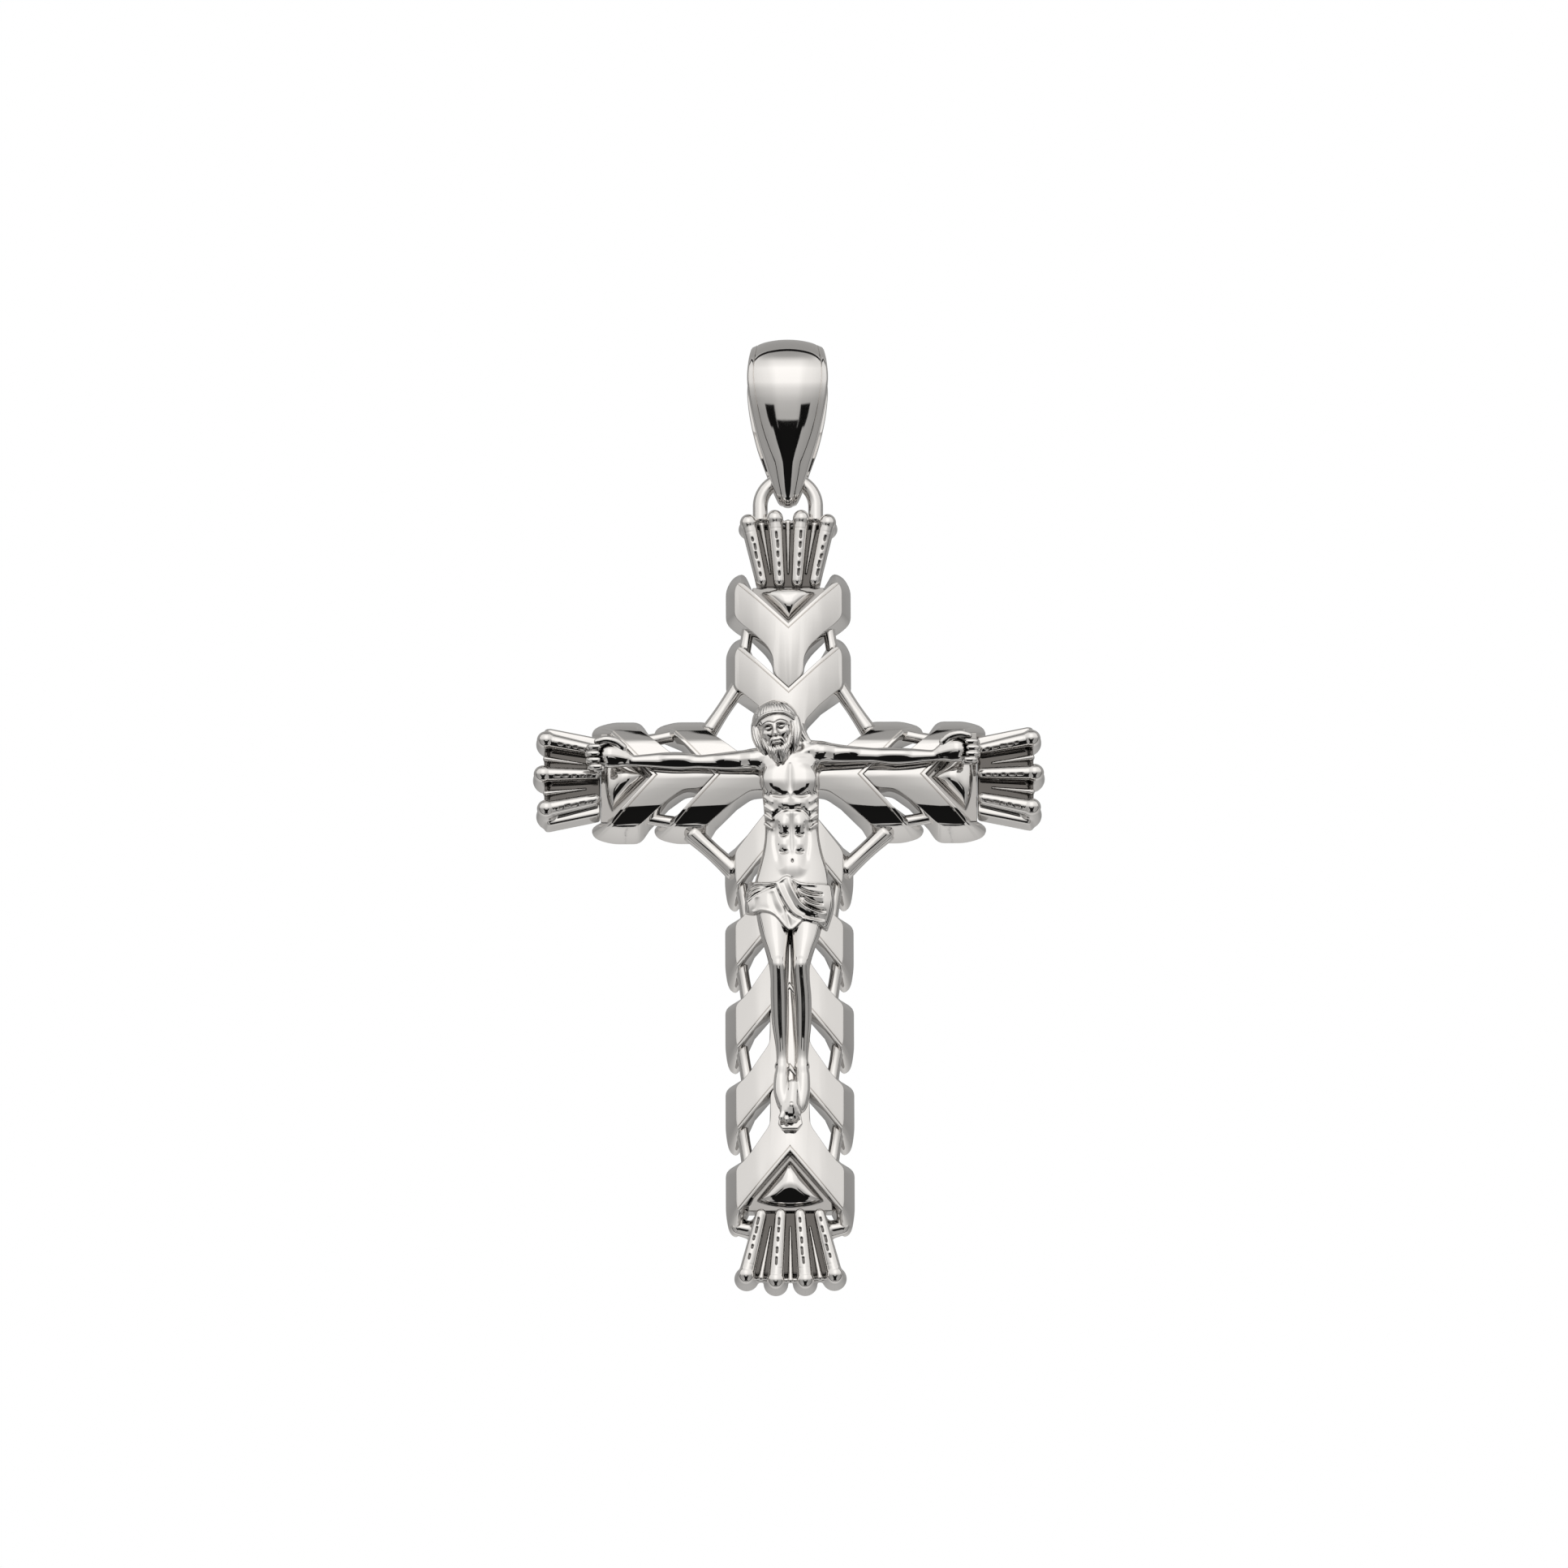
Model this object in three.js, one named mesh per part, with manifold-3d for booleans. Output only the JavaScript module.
// Crucifix pendant on a hinged bail: a cross of nested chevrons with fluted fan terminals and a corpus.
// Millimetres, +Z up, the front faces -Y. The origin is the chain seat, the inside top of the bail.
import * as THREE from 'three';
import Module from 'manifold-3d';
import { mergeVertices } from 'three/addons/utils/BufferGeometryUtils.js';

const wasm = await Module();
wasm.setup();

// ---- Driving dimensions ------------------------------------------------------------------------
// Heights are measured from the crossing of the two bars. u runs outward along an arm, v across it.
const BACK = 1.3;              // y of the flat back
const WALL_TOP = -0.6;         // y where the side walls end and the outer facets begin
const RIDGE = -1.55;           // y of the centre ridge of every arm
const FACET_EDGE = -1.25;      // y where the outer and the inner facets meet
const SEAM = 0.03;             // soldered seam between neighbouring pieces
const GAP_DRAFT = 0.15;        // how far a wall between two chevrons leans out towards the back

const TOP_BAR = { wall: 3.32, facet: 2.05, draft: 0.55 };
const BOTTOM_BAR = { wall: 3.32, facet: 2.05, draft: 0.65 };
const CROSSBAR = { wall: 3.04, facet: 2.15, draft: 0.8 };

const TOP_NOTCHES = [5.42, 9.48];
const SIDE_NOTCHES = [4.55, 8.4];
const BOTTOM_NOTCHES = [3.19, 8.27, 13.35, 18.43, 23.51];

const LOOP = { height: 17.12, radius: 1.71, wire: 0.46, legDrop: 1.0 };
// The bail's strap is `leaf` thick, and `tipLeaf` at its tip: it thickens from tipStart over tipFade.
const BAIL = { top: 27.62, leaf: 0.55, tipLeaf: 0.95, tipStart: 19.4, tipFade: 2.2, crown: 0.22, edge: 0.12 };
const SEAT = BAIL.top - BAIL.leaf;
const CROSS_SHIFT = 0.16;      // y offset that hangs the cross upright under its loop

const METAL = { color: 0xc8c5c2, roughness: 0.08, metalness: 1 };

// ---- Small geometry helpers --------------------------------------------------------------------
function meshOf(name, geometry) {
  const mesh = new THREE.Mesh(geometry, new THREE.MeshStandardMaterial(METAL));
  mesh.name = name;
  return mesh;
}

function geometryOf(points, faces) {
  const geometry = new THREE.BufferGeometry();
  geometry.setAttribute('position', new THREE.Float32BufferAttribute(points.flat(), 3));
  geometry.setIndex(faces.flat());
  return geometry;
}

function signedVolume(points, faces) {
  let volume = 0;
  for (const [a, b, c] of faces) {
    const [p, q, r] = [a, b, c].map((i) => new THREE.Vector3(...points[i]));
    volume += p.dot(q.cross(r)) / 6;
  }
  return volume;
}

// Skins a stack of rings with the same number of points. An open stack gets a cap at each end, cut up
// from the 2-D outline `flat` where the ring isn't convex; a closed stack joins its last ring to its first.
function loft(rings, { closed = false, flat = null } = {}) {
  const count = rings[0].length;
  const points = rings.flat();
  const faces = [];
  const bands = closed ? rings.length : rings.length - 1;
  for (let i = 0; i < bands; i += 1) {
    const here = i * count;
    const next = ((i + 1) % rings.length) * count;
    for (let j = 0; j < count; j += 1) {
      const k = (j + 1) % count;
      faces.push([here + j, here + k, next + k], [here + j, next + k, next + j]);
    }
  }
  if (!closed) {
    const outline = flat ?? rings[0].map((_, j) => {
      const turn = (2 * Math.PI * j) / count;
      return [Math.cos(turn), Math.sin(turn)];
    });
    const cap = THREE.ShapeUtils.triangulateShape(outline.map(([x, y]) => new THREE.Vector2(x, y)), []);
    const edge = new Set(rings[0].map((_, j) => `${j},${(j + 1) % count}`));
    const along = cap.some(([a, b, c]) => [[a, b], [b, c], [c, a]].some((pair) => edge.has(pair.join())));
    const last = (rings.length - 1) * count;
    for (const [a, b, c] of cap) {
      const [s, t] = along ? [c, b] : [b, c];
      faces.push([a, s, t], [last + a, last + t, last + s]);
    }
  }
  if (signedVolume(points, faces) < 0) {
    faces.forEach((face) => face.reverse());
  }
  return geometryOf(points, faces);
}

function toSolid(geometry) {
  const bare = geometry.clone();
  bare.deleteAttribute('normal');
  bare.deleteAttribute('uv');
  const merged = mergeVertices(bare, 1e-5);
  return new wasm.Manifold(new wasm.Mesh({
    numProp: 3,
    vertProperties: merged.attributes.position.array,
    triVerts: new Uint32Array(merged.index.array),
  }));
}

function toGeometry(solid) {
  const mesh = solid.getMesh();
  const geometry = new THREE.BufferGeometry();
  geometry.setAttribute('position', new THREE.BufferAttribute(new Float32Array(mesh.vertProperties), 3));
  geometry.setIndex(new THREE.BufferAttribute(new Uint32Array(mesh.triVerts), 1));
  return geometry;
}

const join = (geometries) => toGeometry(geometries.map(toSolid).reduce((a, b) => a.add(b)));

// ---- Chevrons ----------------------------------------------------------------------------------
// A leaf outline is the +v half of a chevron: [v, u, dv, du], where dv and du are its lean at the back.
// It starts at the notch, runs out along the open edge, round the tip and back in to the axis.
function mirrored(half) {
  const inner = half.slice(1, -1);
  const other = inner.map(([v, u, dv, du]) => [-v, u, -dv, du]).reverse();
  return [half[0], ...inner, half[half.length - 1], ...other];
}

// Moves every point of a closed outline outward by `distance`.
function grown(outline, distance) {
  const count = outline.length;
  let area = 0;
  outline.forEach(([v, u], i) => {
    const [v2, u2] = outline[(i + 1) % count];
    area += v * u2 - v2 * u;
  });
  const side = Math.sign(area);
  return outline.map(([v, u, dv, du], i) => {
    const before = outline[(i + count - 1) % count];
    const after = outline[(i + 1) % count];
    const first = new THREE.Vector2(u - before[1], before[0] - v).normalize();
    const second = new THREE.Vector2(after[1] - u, v - after[0]).normalize();
    const mean = first.clone().add(second);
    const scale = (side * distance * 2) / Math.max(mean.lengthSq(), 0.6);
    return [v + mean.x * scale, u + mean.y * scale, dv, du];
  });
}

function taperedPrism(outline) {
  const front = (y) => outline.map(([v, u]) => [v, y, u]);
  const back = outline.map(([v, u, dv, du]) => [v + dv, BACK, u + du]);
  return loft([front(RIDGE - 0.5), front(WALL_TOP), back], { flat: outline });
}

function roof(bar) {
  const reach = 6;
  const length = 40;
  const slope = (WALL_TOP - FACET_EDGE) / (bar.wall - bar.facet);
  const eaves = WALL_TOP + slope * (reach - bar.wall);
  const section = [
    [0, RIDGE], [bar.facet, FACET_EDGE], [reach, eaves], [reach, BACK + 1],
    [-reach, BACK + 1], [-reach, eaves], [-bar.facet, FACET_EDGE],
  ];
  const ring = (u) => section.map(([v, y]) => [v, y, u]);
  return toSolid(loft([ring(-length), ring(length)], { flat: section }));
}

const ROOFS = { upright: roof(TOP_BAR), crossbar: roof(CROSSBAR) };

function chevronSolid(outline, shape, notch, spare = 0) {
  const prism = toSolid(taperedPrism(spare ? grown(outline, spare) : outline));
  const cut = prism.translate([0, 0, notch]);
  return spare ? cut : cut.intersect(ROOFS[shape]);
}

// The keel of a chevron reaches down to the notch of the next one in, `pitch` away.
function keel(half, slope, pitch) {
  const lean = GAP_DRAFT * Math.hypot(1, slope);
  const seam = SEAM * Math.hypot(1, slope);
  return [[half, -pitch + slope * half + seam, 0, lean], [0, -pitch + seam, 0, lean]];
}

// The open edge of a leaf from the notch to its tip. The tip's wall leans out far more than the notch's.
function notchAndTip(slope, halfway, tip, corner, wallU, { wall, draft }) {
  const lean = GAP_DRAFT * Math.hypot(1, slope);
  return [
    [0, 0, 0, lean],
    [halfway, halfway * slope, 0, lean],
    tip,
    corner,
    [wall, tip[1] - 0.35, draft, 0.35],
    [wall, wallU, draft, -0.1],
  ];
}

const BOTTOM_SLOPE = 1.16;
const TOP_SLOPE = 0.95;
const SIDE_SLOPE = 0.93;

const bottomTip = notchAndTip(BOTTOM_SLOPE, 2.15,
  [3.0, 3.48, 0.2, 1.55], [3.22, 3.6, 0.55, 1.1], 0.9, BOTTOM_BAR);
const topTip = notchAndTip(TOP_SLOPE, 2.0, [2.8, 2.66, -0.1, 1.1], [3.12, 2.72, 0.3, 0.75], 0.62, TOP_BAR);
const sideTip = notchAndTip(SIDE_SLOPE, 2.0, [2.65, 2.5, 0.1, 1.35], [2.9, 2.55, 0.6, 1.1], 0.85, CROSSBAR);

// The shoulder is the inward edge of a leaf, from the wall to the neck of the keel.
const bottomShoulder = [
  [2.85, 0.5, 0.3, -0.2], [2.4, 0.0, 0.1, -0.1],
  [1.3, -1.55, 0.1, -0.1], [1.2, -1.95, 0.06, 0],
];
const topShoulder = [
  [2.9, 0.1, 0.3, -0.2], [2.2, -0.5, 0.1, -0.1],
  [1.3, -1.4, 0.1, -0.1], [0.95, -2.1, 0.06, 0],
];
const sideShoulder = [
  [2.7, 0.4, 0.3, -0.2], [1.6, -0.9, 0.1, -0.1],
  [1.05, -1.65, 0.1, -0.1], [0.9, -2.05, 0.06, 0],
];

// The innermost chevrons run to the crossing, where their keels meet in a mitre.
function mitre(half, notch) {
  return [[half, half - notch + SEAM, 0, 0], [0, -notch + SEAM, 0, 0]];
}

const OUTLINES = {
  bottom: mirrored([...bottomTip, ...bottomShoulder, ...keel(1.2, BOTTOM_SLOPE, 5.08)]),
  bottomInner: mirrored([...bottomTip.slice(0, 5), [3.32, 1.5, 0.65, -0.1], [3.05, 1.12, 0.3, -0.2],
    [0.9, -1.5, 0.1, -0.1], ...mitre(0.9, BOTTOM_NOTCHES[0])]),
  top: mirrored([...topTip, ...topShoulder, ...keel(0.9, TOP_SLOPE, 4.06)]),
  topInner: mirrored([...topTip.slice(0, 5), [3.32, 0.2, 0.55, -0.1], [2.9, -0.12, 0.3, -0.2],
    [1.9, -1.05, 0.1, -0.1], [1.0, -2.05, 0.06, -0.1], ...mitre(0.9, TOP_NOTCHES[0])]),
  side: mirrored([...sideTip, ...sideShoulder, ...keel(0.85, SIDE_SLOPE, 3.85)]),
  sideInner: mirrored([...sideTip.slice(0, 5), [3.04, 0.55, 0.8, -0.1], [2.7, 0.15, 0.3, -0.2],
    [1.6, -1.25, 0.1, -0.1], [1.0, -2.15, 0.06, -0.1], ...mitre(0.9, SIDE_NOTCHES[0])]),
};

function arm(label, shape, notches, kind, turn) {
  const group = new THREE.Group();
  group.rotation.y = turn;
  const cutters = notches.map((notch, i) => {
    const outline = OUTLINES[i === 0 ? `${kind}Inner` : kind];
    group.add(meshOf(`${label}_chevron_${i + 1}`, toGeometry(chevronSolid(outline, shape, notch))));
    return chevronSolid(outline, shape, notch, SEAM);
  });
  return { group, cutters, label };
}

// A bar of nine sides between two points of the u-v plane, with its ends let into the chevrons.
function bar(from, to, radius, y) {
  const start = new THREE.Vector3(from[0], y, from[1]);
  const end = new THREE.Vector3(to[0], y, to[1]);
  const along = end.clone().sub(start);
  const length = along.length();
  const rod = new THREE.CylinderGeometry(radius, radius, length, 9);
  const turn = new THREE.Quaternion().setFromUnitVectors(new THREE.Vector3(0, 1, 0), along.normalize());
  rod.applyQuaternion(turn);
  rod.translate(...start.add(end).multiplyScalar(0.5).toArray());
  return toSolid(rod);
}

const BRIDGE = { radius: 0.3, y: -0.05 };

// One bridge on each side joins a chevron to the next one out, square to the gap between them.
function addBridges(side, notches, { v, inner, outer }) {
  for (let i = 0; i + 1 < notches.length; i += 1) {
    for (const [hand, sign] of [['left', -1], ['right', 1]]) {
      const from = [sign * (v + 0.25), notches[i + 1] + inner];
      const to = [sign * (v - 0.25), notches[i + 1] + outer];
      let solid = bar(from, to, BRIDGE.radius, BRIDGE.y);
      solid = solid.subtract(side.cutters[i]).subtract(side.cutters[i + 1]);
      side.group.add(meshOf(`${side.label}_bridge_${i + 1}_${hand}`, toGeometry(solid)));
    }
  }
}

// ---- Keystones and fan terminals ---------------------------------------------------------------
// A keystone is a domed triangle that fills the notch of the outermost chevron and meets the terminal.
function keystone({ notch, slope, base, reach }) {
  const clear = 0.3;           // from the notch to the keystone's point
  const crown = reach - SEAM - notch - base;
  const half = (base - clear) / slope;
  const outline = [[0, clear, 0, 0.1], [half, base, 0, 0], [half * 0.5, base + crown, 0, 0],
    [-half * 0.5, base + crown, 0, 0], [-half, base, 0, 0]];
  const middle = [0, clear + (base - clear) * 0.66];
  const shrink = (amount) => outline.map(([v, u]) => [v * amount, middle[1] + (u - middle[1]) * amount]);
  const ring = (y, amount) => shrink(amount).map(([v, u]) => [v, y, u + notch]);
  return loft([ring(BACK, 1), ring(-1.0, 1), ring(-1.3, 0.84), ring(-1.5, 0.45)], { flat: outline });
}

// A ring of `sides` points, flat sides to the axes, around a centre in the x-y plane.
function ellipse([x, y, z], wide, deep, sides) {
  return Array.from({ length: sides }, (_, j) => {
    const turn = (Math.PI * (2 * j + 1)) / sides;
    return [x + wide * Math.cos(turn), y + deep * Math.sin(turn), z];
  });
}

const FAN = {
  floor: -0.5,                 // y of the bottom of the flutes
  rodY: -0.88,                 // y of the rods' axis at the balls
  rodSink: 0.12,               // how much deeper the axis lies at the collar
  rodFoot: 0.27,
  rodHead: 0.36,
  flare: 0.19,                 // share by which the back is wider at the outer end
  rib: 0.16,
  collar: 0.42,
};

// A fan terminal: a tapered block, fluting rods that end in balls, thin ribs between them, and a collar.
function terminal({ base, baseHalf, end, endHalf, rods, rodBase, ballR, ballSpread, baseSpread, arch }) {
  const { floor, rodY } = FAN;
  const outline = [[-baseHalf, base], [baseHalf, base], [baseHalf + 0.08, base + 0.5],
    [endHalf - 0.2, end - 0.55], [endHalf - 0.25, end - 0.1], [endHalf * 0.45, end + arch - 0.05],
    [-endHalf * 0.45, end + arch - 0.05], [0.25 - endHalf, end - 0.1], [0.2 - endHalf, end - 0.55],
    [-baseHalf - 0.08, base + 0.5]];
  const back = outline.map(([v, u]) => {
    const far = (u - base) / (end - base);
    return [v * (1 + FAN.flare * far), BACK, u + 0.5 * Math.max(far - 0.7, 0)];
  });
  const block = loft([outline.map(([v, u]) => [v, floor, u]), back], { flat: outline });
  const parts = [toSolid(block)];
  const spread = (i) => (2 * i) / (rods - 1) - 1;
  for (let i = 0; i < rods; i += 1) {
    const s = spread(i);
    const lift = arch * (1 - s * s);
    const foot = [s * baseSpread, rodY + FAN.rodSink, rodBase];
    const head = [s * ballSpread, rodY, end - ballR + lift - 0.12];
    const ring = (at, r) => ellipse(at, r, r, 8);
    parts.push(toSolid(loft([ring(foot, FAN.rodFoot), ring(head, FAN.rodHead)])));
    const ball = new THREE.SphereGeometry(ballR, 10, 7);
    ball.translate(...head);
    parts.push(toSolid(ball));
  }
  for (let i = 0; i + 1 < rods; i += 1) {
    const s = (spread(i) + spread(i + 1)) / 2;
    const rib = new THREE.BoxGeometry(FAN.rib, 0.5, end - rodBase - 0.9);
    rib.rotateY(Math.atan2(s * (ballSpread - baseSpread), end - ballR - rodBase));
    rib.translate((s * (ballSpread + baseSpread)) / 2, floor - 0.1, (rodBase + end) / 2 - 0.35);
    parts.push(toSolid(rib));
  }
  const collar = new THREE.BoxGeometry(2 * baseHalf - 0.12, 0.9, FAN.collar);
  collar.translate(0, floor - 0.25, base + FAN.collar / 2 + 0.03);
  parts.push(toSolid(collar));
  return toGeometry(parts.reduce((a, b) => a.add(b)));
}

// ---- The corpus --------------------------------------------------------------------------------
// A limb is skinned over ellipses given as [x, y, z, half width, half depth]; `plane` names their plane.
function limb(stations, plane, sides = 10) {
  const rings = stations.map(([x, y, z, wide, deep]) => {
    const upright = plane === 'xy';
    const ring = ellipse(upright ? [x, y, z] : [z, y, x], wide, deep, sides);
    return upright ? ring : ring.map(([across, depth, along]) => [along, depth, across]);
  });
  return loft(rings);
}

function corpus() {
  const torso = limb([
    [-0.2, -2.35, 1.55, 0.75, 0.5], [-0.25, -2.4, 1.15, 1.9, 0.68], [0.0, -2.5, 0.3, 1.95, 0.85],
    [0.05, -2.5, -0.8, 1.8, 0.88], [0.1, -2.42, -2.2, 1.62, 0.76], [0.15, -2.36, -3.6, 1.66, 0.7],
    [0.15, -2.4, -5.2, 1.95, 0.76], [0.15, -2.42, -6.6, 2.25, 0.8],
  ], 'xy', 12);
  const cloth = limb([
    [0.1, -2.46, -6.25, 2.3, 0.84], [0.05, -2.5, -7.2, 2.65, 0.9], [0.0, -2.5, -8.4, 2.8, 0.9],
    [0.0, -2.46, -9.3, 2.55, 0.84], [0.05, -2.4, -9.85, 1.5, 0.6],
  ], 'xy', 12);
  const leg = (side) => limb([
    [side * 1.0 + 0.05, -2.4, -8.6, 1.05, 0.76], [side * 0.9 + 0.05, -2.6, -10.1, 0.95, 0.78],
    [side * 0.78 + 0.03, -2.94, -11.4, 0.68, 0.76], [side * 0.7, -3.18, -12.3, 0.57, 0.7],
    [side * 0.7 + 0.03, -3.08, -13.0, 0.53, 0.65], [side * 0.72 + 0.09, -2.74, -14.2, 0.54, 0.63],
    [side * 0.72 + 0.12, -2.42, -15.6, 0.5, 0.56], [side * 0.66 + 0.14, -2.14, -17.0, 0.4, 0.44],
    [side * 0.62 + 0.14, -2.08, -18.1, 0.38, 0.4], [side * 0.64 + 0.12, -2.3, -19.2, 0.46, 0.5],
    [side * 0.55 + 0.1, -2.5, -20.2, 0.48, 0.5],
  ], 'xy', 8);
  const feet = limb([
    [0.1, -2.5, -19.7, 0.75, 0.5], [0.08, -2.75, -20.6, 0.85, 0.62], [0.04, -2.9, -21.3, 0.68, 0.5],
    [0.02, -2.98, -21.75, 0.4, 0.3],
  ], 'xy', 10);
  const armLimb = (points) => limb(points.map(([x, y, z, r]) => [x, y, z, r, r]), 'yz', 8);
  const leftArm = armLimb([
    [-1.2, -2.45, 0.95, 0.62], [-2.6, -2.35, 0.85, 0.6], [-4.4, -2.2, 0.75, 0.5], [-6.2, -2.12, 0.8, 0.42],
    [-7.8, -2.1, 0.85, 0.42], [-9.6, -2.02, 0.95, 0.31], [-10.4, -2.02, 1.0, 0.36], [-11.1, -2.08, 1.1, 0.48],
    [-12.0, -2.08, 1.15, 0.42],
  ]);
  const rightArm = armLimb([
    [0.9, -2.45, 1.3, 0.62], [1.9, -2.35, 1.45, 0.6], [3.8, -2.2, 1.3, 0.5], [5.6, -2.12, 1.2, 0.42],
    [7.4, -2.1, 1.2, 0.42], [9.0, -2.02, 1.3, 0.31], [9.8, -2.02, 1.4, 0.36], [10.5, -2.08, 1.5, 0.48],
    [11.5, -2.08, 1.55, 0.42],
  ]);
  const head = new THREE.SphereGeometry(1, 14, 10);
  head.rotateX(Math.PI / 2);
  head.scale(1.6, 1.2, 2.1);
  head.rotateY(THREE.MathUtils.degToRad(-8.5));
  head.translate(-0.76, -2.85, 2.45);
  const hair = limb([
    [-0.4, -2.5, 3.2, 1.35, 0.8], [-0.3, -2.45, 2.0, 1.4, 0.75], [0.3, -2.45, 1.0, 1.2, 0.7],
  ], 'xy', 10);
  return join([torso, cloth, leg(-1), leg(1), feet, leftArm, rightArm, head, hair]);
}

function footRest() {
  const block = [
    [-0.62, -21.3], [0.66, -21.3], [0.78, -21.95], [0.5, -22.25],
    [-0.5, -22.25], [-0.74, -21.95],
  ];
  const ring = (y, lift) => block.map(([x, z]) => [x, y, z + lift]);
  return loft([ring(RIDGE - 0.04, 0), ring(-2.3, -0.05)], { flat: block });
}

// ---- Loop and bail -----------------------------------------------------------------------------
function hangingLoop() {
  const sides = 10;
  const steps = 14;
  const leg = LOOP.legDrop;
  const ring = (x, z, turn) => ellipse([0, 0, 0], LOOP.wire, LOOP.wire, sides)
    .map(([out, y]) => [x + out * Math.cos(turn), y, z + out * Math.sin(turn)]);
  const rings = [ring(LOOP.radius, LOOP.height - leg, 0)];
  for (let i = 0; i <= steps; i += 1) {
    const turn = (Math.PI * i) / steps;
    rings.push(ring(LOOP.radius * Math.cos(turn), LOOP.height + LOOP.radius * Math.sin(turn), turn));
  }
  rings.push(ring(-LOOP.radius, LOOP.height - leg, Math.PI));
  return loft(rings);
}

// The bail is one closed strap, seen from the side as a teardrop. Each station gives the strap's middle
// line as [y, z], and the half width of the leaf there comes from its height.
const BAIL_WIDTHS = [[17.0, 0.55], [17.9, 0.86], [19.0, 1.26], [20.5, 1.74], [22.0, 2.13], [23.5, 2.39],
  [24.9, 2.5], [26.2, 2.42], [27.2, 2.28], [27.7, 2.2]];
const BAIL_PROFILE = [[0, 27.62], [1.05, 27.42], [2.0, 26.82], [2.72, 25.9], [3.08, 24.8], [3.06, 23.6],
  [2.8, 22.2], [2.34, 20.8], [1.86, 19.6], [1.42, 18.5], [1.0, 17.6], [0.52, 17.15], [0, 17.05]];

function widthAt(z) {
  for (let i = 1; i < BAIL_WIDTHS.length; i += 1) {
    const [z0, w0] = BAIL_WIDTHS[i - 1];
    const [z1, w1] = BAIL_WIDTHS[i];
    if (z <= z1) {
      return w0 + ((w1 - w0) * (z - z0)) / (z1 - z0);
    }
  }
  return BAIL_WIDTHS[BAIL_WIDTHS.length - 1][1];
}

function bail() {
  const half = BAIL_PROFILE;
  const outer = [...half, ...half.slice(1, -1).map(([y, z]) => [-y, z]).reverse()];
  const count = outer.length;
  const rings = outer.map(([y, z], i) => {
    const before = outer[(i + count - 1) % count];
    const after = outer[(i + 1) % count];
    const along = new THREE.Vector2(after[0] - before[0], after[1] - before[1]).normalize();
    const inward = new THREE.Vector2(along.y, -along.x);
    const low = Math.min(Math.max((BAIL.tipStart - z) / BAIL.tipFade, 0), 1);
    const leaf = BAIL.leaf + (BAIL.tipLeaf - BAIL.leaf) * low;
    const width = widthAt(z);
    const crown = BAIL.crown * width;
    const at = (x, depth) => [x, y + inward.x * depth, z + inward.y * depth];
    const inside = Math.max(leaf, crown * 0.64 + BAIL.edge);
    const side = [[0.6, crown * 0.36], [1, crown], [1, crown + BAIL.edge], [0.8, inside]];
    const other = [...side].reverse();
    return [at(0, 0), ...side.map(([x, depth]) => at(x * width, depth)), at(0, leaf),
      ...other.map(([x, depth]) => at(-x * width, depth))];
  });
  return loft(rings, { closed: true });
}

// ---- Assembly ----------------------------------------------------------------------------------
const QUARTER = Math.PI / 2;
const arms = {
  top: arm('top', 'upright', TOP_NOTCHES, 'top', 0),
  right: arm('right', 'crossbar', SIDE_NOTCHES, 'side', QUARTER),
  bottom: arm('bottom', 'upright', BOTTOM_NOTCHES, 'bottom', Math.PI),
  left: arm('left', 'crossbar', SIDE_NOTCHES, 'side', -QUARTER),
};
addBridges(arms.top, TOP_NOTCHES, { v: 2.6, inner: -2.1, outer: 0.5 });
addBridges(arms.right, SIDE_NOTCHES, { v: 2.55, inner: -1.7, outer: 0.9 });
addBridges(arms.left, SIDE_NOTCHES, { v: 2.55, inner: -1.7, outer: 0.9 });
addBridges(arms.bottom, BOTTOM_NOTCHES, { v: 2.75, inner: -1.8, outer: 0.9 });

const TERMINALS = {
  top: { base: 11.98, baseHalf: 1.8, end: 16.5, endHalf: 2.85, rods: 4, rodBase: 12.35, ballR: 0.47,
    ballSpread: 2.45, baseSpread: 1.62, arch: 0.3 },
  right: { base: 11.62, baseHalf: 2.1, end: 15.4, endHalf: 3.15, rods: 3, rodBase: 11.95, ballR: 0.5,
    ballSpread: 2.15, baseSpread: 1.45, arch: 0.2 },
  bottom: { base: 27.1, baseHalf: 2.05, end: 31.75, endHalf: 3.15, rods: 4, rodBase: 27.5, ballR: 0.5,
    ballSpread: 2.72, baseSpread: 1.8, arch: 0.35 },
};
TERMINALS.left = TERMINALS.right;

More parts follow.
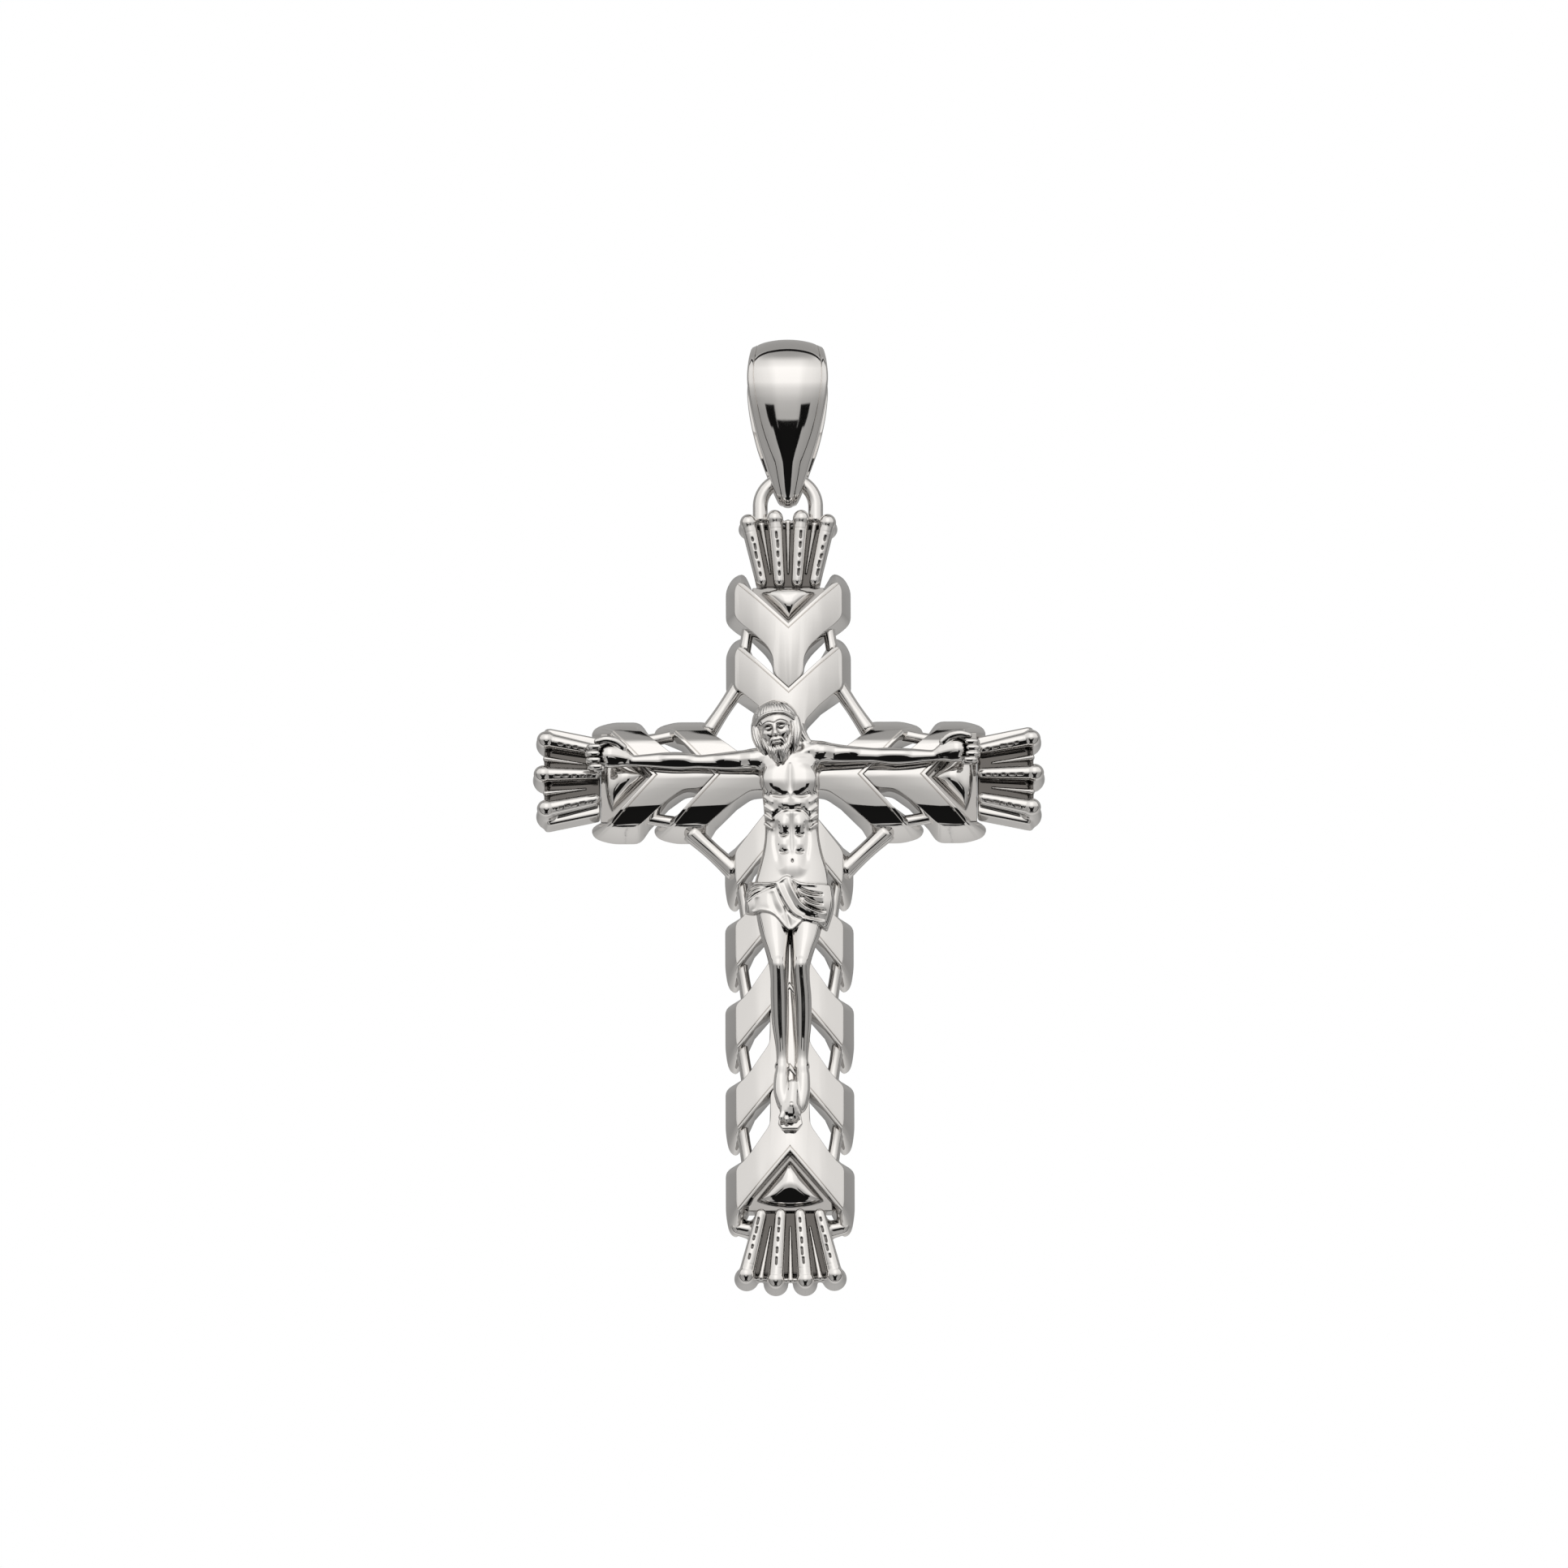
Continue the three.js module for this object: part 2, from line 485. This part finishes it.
const KEYSTONES = {
  top: { notch: TOP_NOTCHES[1], slope: TOP_SLOPE, base: 2.2, reach: TERMINALS.top.base },
  right: { notch: SIDE_NOTCHES[1], slope: SIDE_SLOPE, base: 2.75, reach: TERMINALS.right.base },
  left: { notch: SIDE_NOTCHES[1], slope: SIDE_SLOPE, base: 2.75, reach: TERMINALS.left.base },
  bottom: { notch: BOTTOM_NOTCHES[4], slope: BOTTOM_SLOPE, base: 3.15, reach: TERMINALS.bottom.base },
};

const cross = new THREE.Group();
for (const [label, side] of Object.entries(arms)) {
  const outermost = side.cutters[side.cutters.length - 1];
  const stone = toSolid(keystone(KEYSTONES[label])).subtract(outermost);
  side.group.add(meshOf(`${label}_keystone`, toGeometry(stone)));
  const fan = meshOf(`${label}_terminal`, terminal(TERMINALS[label]));
  side.group.add(fan);
  cross.add(side.group);
}

// Corner struts tie the crossbar's inner chevrons to the upright's. The cutters are brought into the
// frame of the crossing by turning each arm's own.
function turned(side) {
  return side.cutters.map((solid) => solid.rotate([0, THREE.MathUtils.radToDeg(side.group.rotation.y), 0]));
}

const CORNERS = {
  upper: { from: [3.0, 5.95], to: [4.95, 3.0], radius: 0.36, y: 0.1 },
  lower: { from: [6.05, -3.25], to: [3.3, -5.8], radius: 0.42, y: 0.1 },
};
const upright = { upper: turned(arms.top)[0], lower: turned(arms.bottom)[0] };
const crossbar = { left: turned(arms.left)[0], right: turned(arms.right)[0] };
for (const [level, { from, to, radius, y }] of Object.entries(CORNERS)) {
  for (const [hand, sign] of [['left', -1], ['right', 1]]) {
    const rod = bar([sign * from[0], from[1]], [sign * to[0], to[1]], radius, y);
    const solid = rod.subtract(upright[level]).subtract(crossbar[hand]);
    cross.add(meshOf(`${level}_${hand}_corner_strut`, toGeometry(solid)));
  }
}

const terminalTop = toSolid(terminal({ ...TERMINALS.top, baseHalf: TERMINALS.top.baseHalf + SEAM }));
const loopSolid = toSolid(hangingLoop()).subtract(terminalTop.translate([0, CROSS_SHIFT, 0]));
cross.add(meshOf('corpus', corpus()));
cross.add(meshOf('foot_rest', footRest()));
cross.position.y = CROSS_SHIFT;

const pendant = new THREE.Group();
pendant.add(cross);
pendant.add(meshOf('hanging_loop', toGeometry(loopSolid)));
pendant.add(meshOf('bail', bail()));
pendant.position.z = -SEAT;

const group = new THREE.Group();
group.add(pendant);

export default group;
